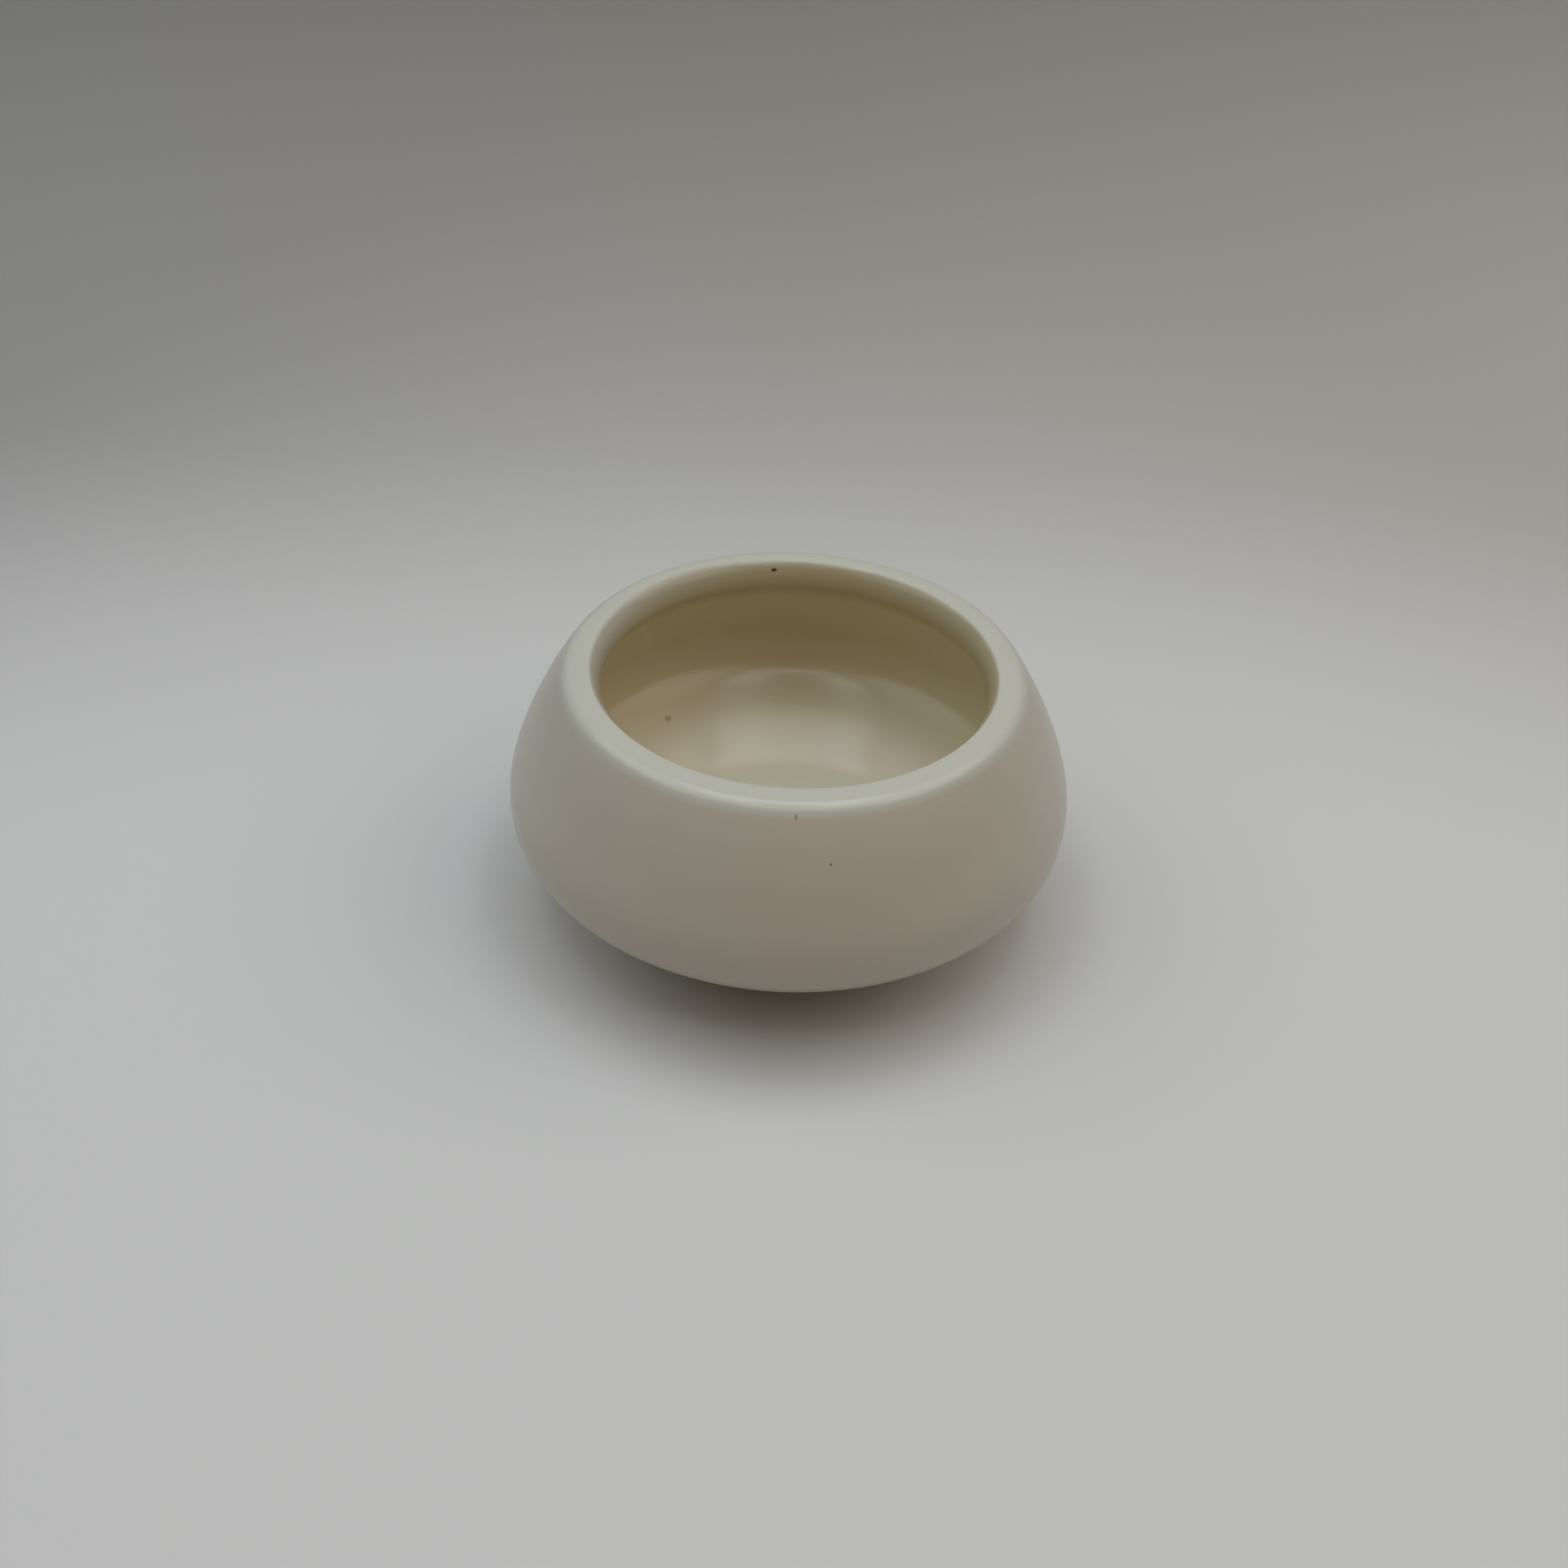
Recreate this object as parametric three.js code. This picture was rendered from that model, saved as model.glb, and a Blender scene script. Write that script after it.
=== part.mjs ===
// A small round ceramic bowl: a fired clay shell on a foot ring, with a satin ivory glaze outside and
// over the lip, and a glossy cream glaze inside. Every piece is turned about +Z, and the bowl stands
// on the plane z = 0 with its axis through the origin. Lengths are in millimetres, angles in degrees.
import * as THREE from 'three';

// Driving dimensions of the finished bowl.
const BOWL_WIDTH = 120;
const BOWL_HEIGHT = 61.6;
const WIDEST_HEIGHT = 31.8;
const MOUTH_WIDTH = 81;

// Lip: a gently domed crown between a crisp inner edge and a tighter outer bend, and a cheek that
// rounds down from the edge into the mouth.
const LIP_CROWN_RADIUS = 10;
const LIP_BEND_RADIUS = 3.2;
const LIP_EDGE_RADIUS = 0.8;
const LIP_CHEEK_RADIUS = 5.5;
const LIP_UNDERCUT_RADIUS = 2.5;

// How far the lip has turned from level where its edge, cheek and bend begin, and where its bend ends.
const LIP_EDGE_TURN = 8;
const LIP_CHEEK_TURN = 40;
const LIP_CROWN_TURN = 14;
const LIP_TURN = 56;

// Clay thickness at the widest ring and in the middle of the floor, and the two glaze coats.
const CLAY_WALL = 3.9;
const CLAY_FLOOR = 5.2;
const OUTER_GLAZE = 0.6;
const LINER_GLAZE = 0.5;

// Underside and foot.
const BASE_WIDTH = 62;
const UNDERSIDE_SLOPE = 27;
const FOOT_SETBACK = 1.5;
const FOOT_HEIGHT = 5.5;
const FOOT_RING_WALL = 5;
const FOOT_ROUNDING = 1;

// Inside floor: a flat middle that curves up into a slope like the underside's.
const FLAT_FLOOR_WIDTH = 42;
const FLOOR_ROUNDING = 30;
const FLOOR_SLOPE = 30;

// How far each curve runs along its end direction before it bends away.
const SHOULDER_REACH = 9.6;
const BELLY_REACH_UP = 7.3;
const BELLY_REACH_DOWN = 7.6;
const INNER_BELLY_REACH = 6;
const INNER_SLOPE_REACH = 16.5;

// Facets around the axis, and along each kind of curve.
const TURNS = 48;
const CURVE_STEPS = 6;
const ARC_STEPS = 3;

const QUARTER = Math.PI / 2;
const CLOCKWISE = true;

const bowlRadius = BOWL_WIDTH / 2;
const mouthRadius = MOUTH_WIDTH / 2;
const innerRadius = bowlRadius - OUTER_GLAZE - CLAY_WALL - LINER_GLAZE;
const baseRadius = BASE_WIDTH / 2;
const floorHeight = FOOT_HEIGHT + CLAY_FLOOR + LINER_GLAZE;

const point = (radius, height) => new THREE.Vector2(radius, height);

/** The point a given reach from a start, in a direction given as an angle above the radius. */
function along(start, angle, reach) {
  return point(start.x + reach * Math.cos(angle), start.y + reach * Math.sin(angle));
}

const lipTurn = THREE.MathUtils.degToRad(LIP_TURN);
const crownTurn = THREE.MathUtils.degToRad(LIP_CROWN_TURN);
const edgeTurn = THREE.MathUtils.degToRad(LIP_EDGE_TURN);
const cheekTurn = THREE.MathUtils.degToRad(LIP_CHEEK_TURN);
const edgeReach = LIP_CROWN_RADIUS - LIP_EDGE_RADIUS;
const cheekReach = LIP_CHEEK_RADIUS - LIP_EDGE_RADIUS;
const edgeRadius = mouthRadius + LIP_CHEEK_RADIUS - cheekReach * Math.sin(cheekTurn);
const crestRadius = edgeRadius + edgeReach * Math.sin(edgeTurn);
const crownCentre = point(crestRadius, BOWL_HEIGHT - LIP_CROWN_RADIUS);
const edgeCentre = along(crownCentre, QUARTER + edgeTurn, edgeReach);
const cheekCentre = along(edgeCentre, QUARTER + cheekTurn, -cheekReach);
const bendCentre = along(crownCentre, QUARTER - crownTurn, LIP_CROWN_RADIUS - LIP_BEND_RADIUS);

/** A stretch of round edge about a centre, from one angle to another. */
function arc(centre, radius, from, to, clockwise = false) {
  const curve = new THREE.EllipseCurve(centre.x, centre.y, radius, radius, from, to, clockwise);
  return { curve, steps: ARC_STEPS };
}

/** A smooth stretch between two ends, shaped by the two points that its ends aim at. */
function bend(start, startAim, endAim, end) {
  const curve = new THREE.CubicBezierCurve(start, startAim, endAim, end);
  return { curve, steps: CURVE_STEPS };
}

/** A straight stretch between two ends. */
function straight(start, end) {
  return { curve: new THREE.LineCurve(start, end), steps: 1 };
}

/** The finished outside: from the base, round the belly, up the wall and over the lip. */
function outsideStretches() {
  const slope = THREE.MathUtils.degToRad(UNDERSIDE_SLOPE);
  const base = point(baseRadius, FOOT_HEIGHT);
  const undersideAim = point(bowlRadius, FOOT_HEIGHT + (bowlRadius - baseRadius) * Math.tan(slope));
  const widest = point(bowlRadius, WIDEST_HEIGHT);
  const shoulder = along(bendCentre, QUARTER - lipTurn, LIP_BEND_RADIUS);
  const shoulderAim = along(shoulder, -lipTurn, SHOULDER_REACH);
  return [
    bend(base, undersideAim, along(widest, -QUARTER, BELLY_REACH_DOWN), widest),
    bend(widest, along(widest, QUARTER, BELLY_REACH_UP), shoulderAim, shoulder),
    arc(bendCentre, LIP_BEND_RADIUS, QUARTER - lipTurn, QUARTER - crownTurn),
    arc(crownCentre, LIP_CROWN_RADIUS, QUARTER - crownTurn, QUARTER + edgeTurn),
    arc(edgeCentre, LIP_EDGE_RADIUS, QUARTER + edgeTurn, QUARTER + cheekTurn),
    arc(cheekCentre, LIP_CHEEK_RADIUS, QUARTER + cheekTurn, 2 * QUARTER),
  ];
}

/** The finished inside: from under the lip, down the hollow wall and across the floor to the axis. */
function insideStretches() {
  const undercut = QUARTER - lipTurn;
  const undercutCentre = point(mouthRadius + LIP_UNDERCUT_RADIUS, cheekCentre.y);
  const underLip = along(undercutCentre, 2 * QUARTER + undercut, LIP_UNDERCUT_RADIUS);
  const underLipAim = along(underLip, -lipTurn, SHOULDER_REACH);
  const widest = point(innerRadius, WIDEST_HEIGHT);
  const slope = THREE.MathUtils.degToRad(FLOOR_SLOPE);
  const flatEdge = point(FLAT_FLOOR_WIDTH / 2, floorHeight);
  const floorCentre = point(flatEdge.x, floorHeight + FLOOR_ROUNDING);
  const slopeFoot = along(floorCentre, slope - QUARTER, FLOOR_ROUNDING);
  const slopeAim = along(slopeFoot, slope, INNER_SLOPE_REACH);
  return [
    arc(undercutCentre, LIP_UNDERCUT_RADIUS, 2 * QUARTER, 2 * QUARTER + undercut),
    bend(underLip, underLipAim, along(widest, QUARTER, BELLY_REACH_UP), widest),
    bend(widest, along(widest, -QUARTER, INNER_BELLY_REACH), slopeAim, slopeFoot),
    arc(floorCentre, FLOOR_ROUNDING, slope - QUARTER, -QUARTER, CLOCKWISE),
    straight(flatEdge, point(0, floorHeight)),
  ];
}

/** Points along joined stretches, each moved square to the surface into the wall by a depth. */
function surface(stretches, depth) {
  const points = [];
  stretches.forEach(({ curve, steps }, index) => {
    for (let step = index === 0 ? 0 : 1; step <= steps; step += 1) {
      const tangent = curve.getTangent(step / steps);
      const inward = point(-tangent.y, tangent.x);
      points.push(curve.getPoint(step / steps).addScaledVector(inward, depth));
    }
  });
  return points;
}

/** A named solid turned from an outline of radius and height that runs counter-clockwise. */
function turned(name, outline, material) {
  const mesh = new THREE.Mesh(new THREE.LatheGeometry(outline, TURNS), material);
  mesh.name = name;
  mesh.rotation.x = QUARTER;
  return mesh;
}

const bareClay = new THREE.MeshStandardMaterial({ color: 0xd8cbb4, roughness: 0.85, metalness: 0 });
const ivorySatin = new THREE.MeshStandardMaterial({ color: 0xd3d0c2, roughness: 0.38, metalness: 0 });
const creamGloss = new THREE.MeshStandardMaterial({ color: 0xc9bb98, roughness: 0.16, metalness: 0 });

const glazedOutside = surface(outsideStretches(), 0);
const clayOutside = surface(outsideStretches(), OUTER_GLAZE);
const glazedInside = surface(insideStretches(), 0);
const clayInside = surface(insideStretches(), LINER_GLAZE);

/** The fired clay shell, with a flat bare base inside the line where the outer glaze stops. */
function clayBody() {
  const base = [point(0, FOOT_HEIGHT), point(clayOutside[0].x, FOOT_HEIGHT)];
  return turned('clay_body', [...base, ...clayOutside, ...clayInside], bareClay);
}

/** The ring that the bowl stands on, luted to the flat base, with both standing edges rounded. */
function footRing() {
  const outer = baseRadius - FOOT_SETBACK;
  const inner = outer - FOOT_RING_WALL;
  const innerCentre = point(inner + FOOT_ROUNDING, FOOT_ROUNDING);
  const outerCentre = point(outer - FOOT_ROUNDING, FOOT_ROUNDING);
  const standing = surface([
    arc(innerCentre, FOOT_ROUNDING, 2 * QUARTER, 3 * QUARTER),
    straight(point(innerCentre.x, 0), point(outerCentre.x, 0)),
    arc(outerCentre, FOOT_ROUNDING, 3 * QUARTER, 4 * QUARTER),
  ], 0);
  const seat = [point(outer, FOOT_HEIGHT), point(inner, FOOT_HEIGHT), standing[0].clone()];
  return turned('foot_ring', [...standing, ...seat], bareClay);
}

/** The outer coat, from the base over the lip to the glaze line at the foot of the lip's cheek. */
function outerGlaze() {
  const underside = [...clayOutside].reverse();
  return turned('outer_glaze', [...glazedOutside, ...underside, glazedOutside[0].clone()], ivorySatin);
}

/** The inner coat, from the glaze line under the lip to the middle of the floor. */
function linerGlaze() {
  const underside = [...clayInside].reverse();
  return turned('liner_glaze', [...underside, ...glazedInside], creamGloss);
}

const bowl = new THREE.Group();
bowl.name = 'decorative_bowl';
bowl.add(clayBody(), footRing(), outerGlaze(), linerGlaze());

export default bowl;
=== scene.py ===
"""A small round ceramic bowl, turned about +Z and standing on z = 0, in metres.

A fired clay shell stands on a luted foot ring. A satin ivory glaze covers its outside and its lip, and a
glossy cream glaze lines it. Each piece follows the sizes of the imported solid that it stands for.
"""

import logging
import math
from abc import ABC, abstractmethod
from collections.abc import Iterable, Mapping
from dataclasses import dataclass, field
from enum import Enum
from typing import Any, ClassVar

import bmesh
import bpy
from bmesh.types import BMesh, BMVert
from mathutils import Matrix, Vector
from mathutils.geometry import interpolate_bezier


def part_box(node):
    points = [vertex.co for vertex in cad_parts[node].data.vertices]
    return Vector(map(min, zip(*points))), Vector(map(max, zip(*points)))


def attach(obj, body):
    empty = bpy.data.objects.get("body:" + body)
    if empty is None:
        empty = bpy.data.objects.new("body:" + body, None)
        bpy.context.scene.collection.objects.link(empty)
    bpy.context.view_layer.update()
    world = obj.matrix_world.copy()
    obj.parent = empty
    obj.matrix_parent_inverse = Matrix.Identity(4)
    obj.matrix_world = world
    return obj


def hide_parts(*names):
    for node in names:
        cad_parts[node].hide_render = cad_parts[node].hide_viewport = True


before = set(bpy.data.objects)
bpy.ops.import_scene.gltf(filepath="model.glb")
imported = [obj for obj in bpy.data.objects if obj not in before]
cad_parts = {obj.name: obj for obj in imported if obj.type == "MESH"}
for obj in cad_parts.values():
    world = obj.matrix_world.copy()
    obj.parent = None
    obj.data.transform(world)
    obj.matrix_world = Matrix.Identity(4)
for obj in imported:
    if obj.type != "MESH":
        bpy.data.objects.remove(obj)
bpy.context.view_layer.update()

MM = 0.001
QUARTER = math.pi / 2
UP = Vector((0, 0, 1))
TURNS = 192
MERGE_DISTANCE = 0.001 * MM
CREASE_ANGLE = math.radians(38)
LOG = logging.getLogger("bowl")

# The length after which a wave texture repeats at a scale of 1.
WAVE_PERIOD = math.tau / 20

Colour = tuple[float, float, float]


class Slot(Enum):
    """The record's material slots."""

    BARE_CLAY = "bare_clay"
    IVORY_SATIN = "ivory_satin_glaze"
    CREAM_GLOSS = "cream_gloss_glaze"


class Sum(Enum):
    """The kinds of arithmetic that shader values are worked out with."""

    ADD = "ADD"
    SUBTRACT = "SUBTRACT"
    MULTIPLY = "MULTIPLY"
    DIVIDE = "DIVIDE"
    POWER = "POWER"


class Layers(Enum):
    """How many finer layers a cloudy noise has."""

    SOFT = 2.0
    FINE = 3.0
    PATCHY = 4.0


def spot(radius: float, height: float) -> Vector:
    """A point of an outline, at a radius from the axis and a height."""
    return Vector((radius, 0, height))


def heading(angle: float) -> Vector:
    """The direction in the outline's plane at an angle above the radius."""
    return Vector((math.cos(angle), 0, math.sin(angle)))


def spun_end(spun: Mapping[str, Any]) -> BMVert:
    """The vertex that a spun vertex has come to."""
    return next(part for part in spun["geom_last"] if isinstance(part, BMVert))


class Outline:
    """A chain of edges in the XZ plane, drawn stretch by stretch, that a piece is turned from."""

    def __init__(self, start: Vector) -> None:
        """Start the chain at a point."""
        self.mesh = bmesh.new()
        self.end = self.mesh.verts.new(start)

    @property
    def points(self) -> list[Vector]:
        """The chain's points, from its start to its end."""
        return [vert.co.copy() for vert in self.mesh.verts]

    def line(self, end: Vector, steps: int = 1) -> None:
        """Draw a straight stretch from the chain's end.

        Args:
            end: Where the stretch ends.
            steps: How many edges it has.
        """
        start = self.end.co.copy()
        self.follow(start.lerp(end, step / steps) for step in range(1, steps + 1))

    def bend(self, start_aim: Vector, end_aim: Vector, end: Vector, steps: int) -> None:
        """Draw a smooth stretch from the chain's end.

        Args:
            start_aim: The point that the stretch sets out towards.
            end_aim: The point that it arrives from.
            end: Where it ends.
            steps: How many edges it has.
        """
        self.follow(interpolate_bezier(self.end.co, start_aim, end_aim, end, steps + 1)[1:])

    def arc(self, centre: Vector, angle: float, steps: int) -> None:
        """Draw a round stretch from the chain's end.

        Args:
            centre: The point that it goes round.
            angle: How far it goes, counter-clockwise where it is above zero.
            steps: How many edges it has.
        """
        self.end = spun_end(bmesh.ops.spin(
            self.mesh, geom=[self.end], cent=centre, axis=(0, -1, 0), angle=angle, steps=steps
        ))

    def follow(self, points: Iterable[Vector]) -> None:
        """Draw straight stretches from the chain's end.

        Args:
            points: The points that they run through.
        """
        for point in points:
            start = self.end
            self.end = self.mesh.verts.new(point)
            self.mesh.edges.new((start, self.end))

    def close(self) -> None:
        """Join the chain's end to its start."""
        self.mesh.verts.ensure_lookup_table()
        self.mesh.edges.new((self.end, self.mesh.verts[0]))

    def sunk(self, depth: float) -> list[Vector]:
        """Work out the chain's points moved square to it, to the left of its way.

        Args:
            depth: How far the points move.

        Returns:
            The moved points, from the start to the end.
        """
        points = self.points
        moved = []
        for index, point in enumerate(points):
            before = points[max(index - 1, 0)]
            after = points[min(index + 1, len(points) - 1)]
            way = (after - before).normalized()
            moved.append(point + Vector((-way.z, 0, way.x)) * depth)
        return moved

    def turned(self) -> BMesh:
        """Turn the chain once round the axis.

        Returns:
            The turned solid, with its seam and poles closed and its faces pointing outwards.
        """
        chain = [*self.mesh.verts, *self.mesh.edges]
        bmesh.ops.spin(
            self.mesh, geom=chain, cent=(0, 0, 0), axis=UP, angle=math.tau, steps=TURNS, use_merge=True
        )
        bmesh.ops.remove_doubles(self.mesh, verts=self.mesh.verts[:], dist=MERGE_DISTANCE)
        bmesh.ops.recalc_face_normals(self.mesh, faces=self.mesh.faces[:])
        return self.mesh


@dataclass(frozen=True)
class BowlForm:
    """The sizes of the bowl's finished surfaces, in metres and radians."""

    radius: float
    height: float
    base_height: float
    inner_radius: float
    floor_height: float
    glaze_line: float
    outer_coat: float
    liner_coat: float = 0.5 * MM
    widest_height: float = 31.8 * MM
    mouth_radius: float = 40.5 * MM
    lip_crown_radius: float = 10 * MM
    lip_bend_radius: float = 3.2 * MM
    lip_edge_radius: float = 0.8 * MM
    lip_cheek_radius: float = 5.5 * MM
    lip_undercut_radius: float = 2.5 * MM
    lip_edge_turn: float = math.radians(8)
    lip_cheek_turn: float = math.radians(40)
    lip_crown_turn: float = math.radians(14)
    lip_turn: float = math.radians(56)
    base_radius: float = 31 * MM
    underside_slope: float = math.radians(27)
    flat_floor_radius: float = 21 * MM
    floor_rounding: float = 30 * MM
    floor_slope: float = math.radians(30)
    shoulder_reach: float = 9.6 * MM
    belly_reach_up: float = 7.3 * MM
    belly_reach_down: float = 7.6 * MM
    inner_belly_reach: float = 6 * MM
    inner_slope_reach: float = 16.5 * MM
    bend_steps: int = 28
    arc_steps: int = 10
    flat_steps: int = 5

    @classmethod
    def from_frame(cls) -> "BowlForm":
        """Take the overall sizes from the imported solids.

        Returns:
            The form that fits the frame.
        """
        outer_low, outer_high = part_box("outer_glaze")
        liner_low, liner_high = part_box("liner_glaze")
        clay_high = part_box("clay_body")[1]
        return cls(
            radius=outer_high.x,
            height=outer_high.z,
            base_height=outer_low.z,
            inner_radius=liner_high.x - cls.liner_coat,
            floor_height=liner_low.z + cls.liner_coat,
            glaze_line=liner_high.z,
            outer_coat=outer_high.x - clay_high.x,
        )

    @property
    def edge_radius(self) -> float:
        """The radius of the ring that the lip's inner edge is rounded about."""
        cheek_reach = self.lip_cheek_radius - self.lip_edge_radius
        return self.mouth_radius + self.lip_cheek_radius - cheek_reach * math.sin(self.lip_cheek_turn)

    def outside(self) -> Outline:
        """Draw the finished outside.

        Returns:
            The outline from the base, round the belly and over the lip to the glaze line.
        """
        rise = (self.radius - self.base_radius) * math.tan(self.underside_slope)
        widest = spot(self.radius, self.widest_height)
        edge_reach = self.lip_crown_radius - self.lip_edge_radius
        crest_radius = self.edge_radius + edge_reach * math.sin(self.lip_edge_turn)
        crown_centre = spot(crest_radius, self.height - self.lip_crown_radius)
        edge_centre = crown_centre + heading(QUARTER + self.lip_edge_turn) * edge_reach
        cheek_centre = spot(self.mouth_radius + self.lip_cheek_radius, self.glaze_line)
        bend_reach = self.lip_crown_radius - self.lip_bend_radius
        bend_centre = crown_centre + heading(QUARTER - self.lip_crown_turn) * bend_reach
        shoulder = bend_centre + heading(QUARTER - self.lip_turn) * self.lip_bend_radius
        shoulder_aim = shoulder + heading(-self.lip_turn) * self.shoulder_reach
        outline = Outline(spot(self.base_radius, self.base_height))
        underside_aim = spot(self.radius, self.base_height + rise)
        outline.bend(underside_aim, widest - UP * self.belly_reach_down, widest, self.bend_steps)
        outline.bend(widest + UP * self.belly_reach_up, shoulder_aim, shoulder, self.bend_steps)
        outline.arc(bend_centre, self.lip_turn - self.lip_crown_turn, self.arc_steps)
        outline.arc(crown_centre, self.lip_crown_turn + self.lip_edge_turn, self.arc_steps)
        outline.arc(edge_centre, self.lip_cheek_turn - self.lip_edge_turn, self.arc_steps)
        outline.arc(cheek_centre, QUARTER - self.lip_cheek_turn, self.arc_steps)
        return outline

    def inside(self) -> Outline:
        """Draw the finished inside.

        Returns:
            The outline from the glaze line, down the hollow wall and across the floor to the axis.
        """
        undercut = QUARTER - self.lip_turn
        undercut_centre = spot(self.mouth_radius + self.lip_undercut_radius, self.glaze_line)
        under_lip = undercut_centre + heading(math.pi + undercut) * self.lip_undercut_radius
        under_lip_aim = under_lip + heading(-self.lip_turn) * self.shoulder_reach
        widest = spot(self.inner_radius, self.widest_height)
        floor_centre = spot(self.flat_floor_radius, self.floor_height + self.floor_rounding)
        slope_foot = floor_centre + heading(self.floor_slope - QUARTER) * self.floor_rounding
        slope_aim = slope_foot + heading(self.floor_slope) * self.inner_slope_reach
        outline = Outline(spot(self.mouth_radius, self.glaze_line))
        outline.arc(undercut_centre, undercut, self.arc_steps)
        outline.bend(under_lip_aim, widest + UP * self.belly_reach_up, widest, self.bend_steps)
        outline.bend(widest - UP * self.inner_belly_reach, slope_aim, slope_foot, self.bend_steps)
        outline.arc(floor_centre, -self.floor_slope, self.arc_steps)
        outline.line(spot(0, self.floor_height), self.flat_steps)
        return outline


class Shade:
    """A single shader value, on which plain arithmetic adds Math nodes."""

    def __init__(self, bench: "Bench", socket: bpy.types.NodeSocket) -> None:
        """Keep the bench and the output socket that the value comes from."""
        self.bench = bench
        self.socket = socket

    def _work_out(self, kind: Sum, first: "Shade | float", second: "Shade | float") -> "Shade":
        """Add the Math node of one step of arithmetic."""
        step = self.bench.node("ShaderNodeMath", {"operation": kind.value}, {0: first, 1: second})
        return Shade(self.bench, step.outputs[0])

    def __add__(self, other: "Shade | float") -> "Shade":
        """Add another value."""
        return self._work_out(Sum.ADD, self, other)

    def __radd__(self, other: float) -> "Shade":
        """Add to a number."""
        return self._work_out(Sum.ADD, other, self)

    def __sub__(self, other: "Shade | float") -> "Shade":
        """Take another value away."""
        return self._work_out(Sum.SUBTRACT, self, other)

    def __rsub__(self, other: float) -> "Shade":
        """Take away from a number."""
        return self._work_out(Sum.SUBTRACT, other, self)

    def __mul__(self, other: "Shade | float") -> "Shade":
        """Multiply by another value."""
        return self._work_out(Sum.MULTIPLY, self, other)

    def __rmul__(self, other: float) -> "Shade":
        """Multiply a number."""
        return self._work_out(Sum.MULTIPLY, other, self)

    def __truediv__(self, other: "Shade | float") -> "Shade":
        """Divide by another value."""
        return self._work_out(Sum.DIVIDE, self, other)

    def __pow__(self, other: float) -> "Shade":
        """Raise to a power."""
        return self._work_out(Sum.POWER, self, other)

    def clamped(self) -> "Shade":
        """The value held between 0 and 1."""
        return Shade(self.bench, self.bench.node("ShaderNodeClamp", {}, {"Value": self}).outputs[0])

    def eased(self) -> "Shade":
        """The value held between 0 and 1, with a soft start and a soft end."""
        held = self.clamped()
        return held * held * (3 - 2 * held)

    def spread(self, reach: float) -> "Shade":
        """The value's range from 0 to 1, stretched to a reach and centred on 0."""
        return (self - 0.5) * reach


Paint = Colour | bpy.types.NodeSocket


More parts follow.
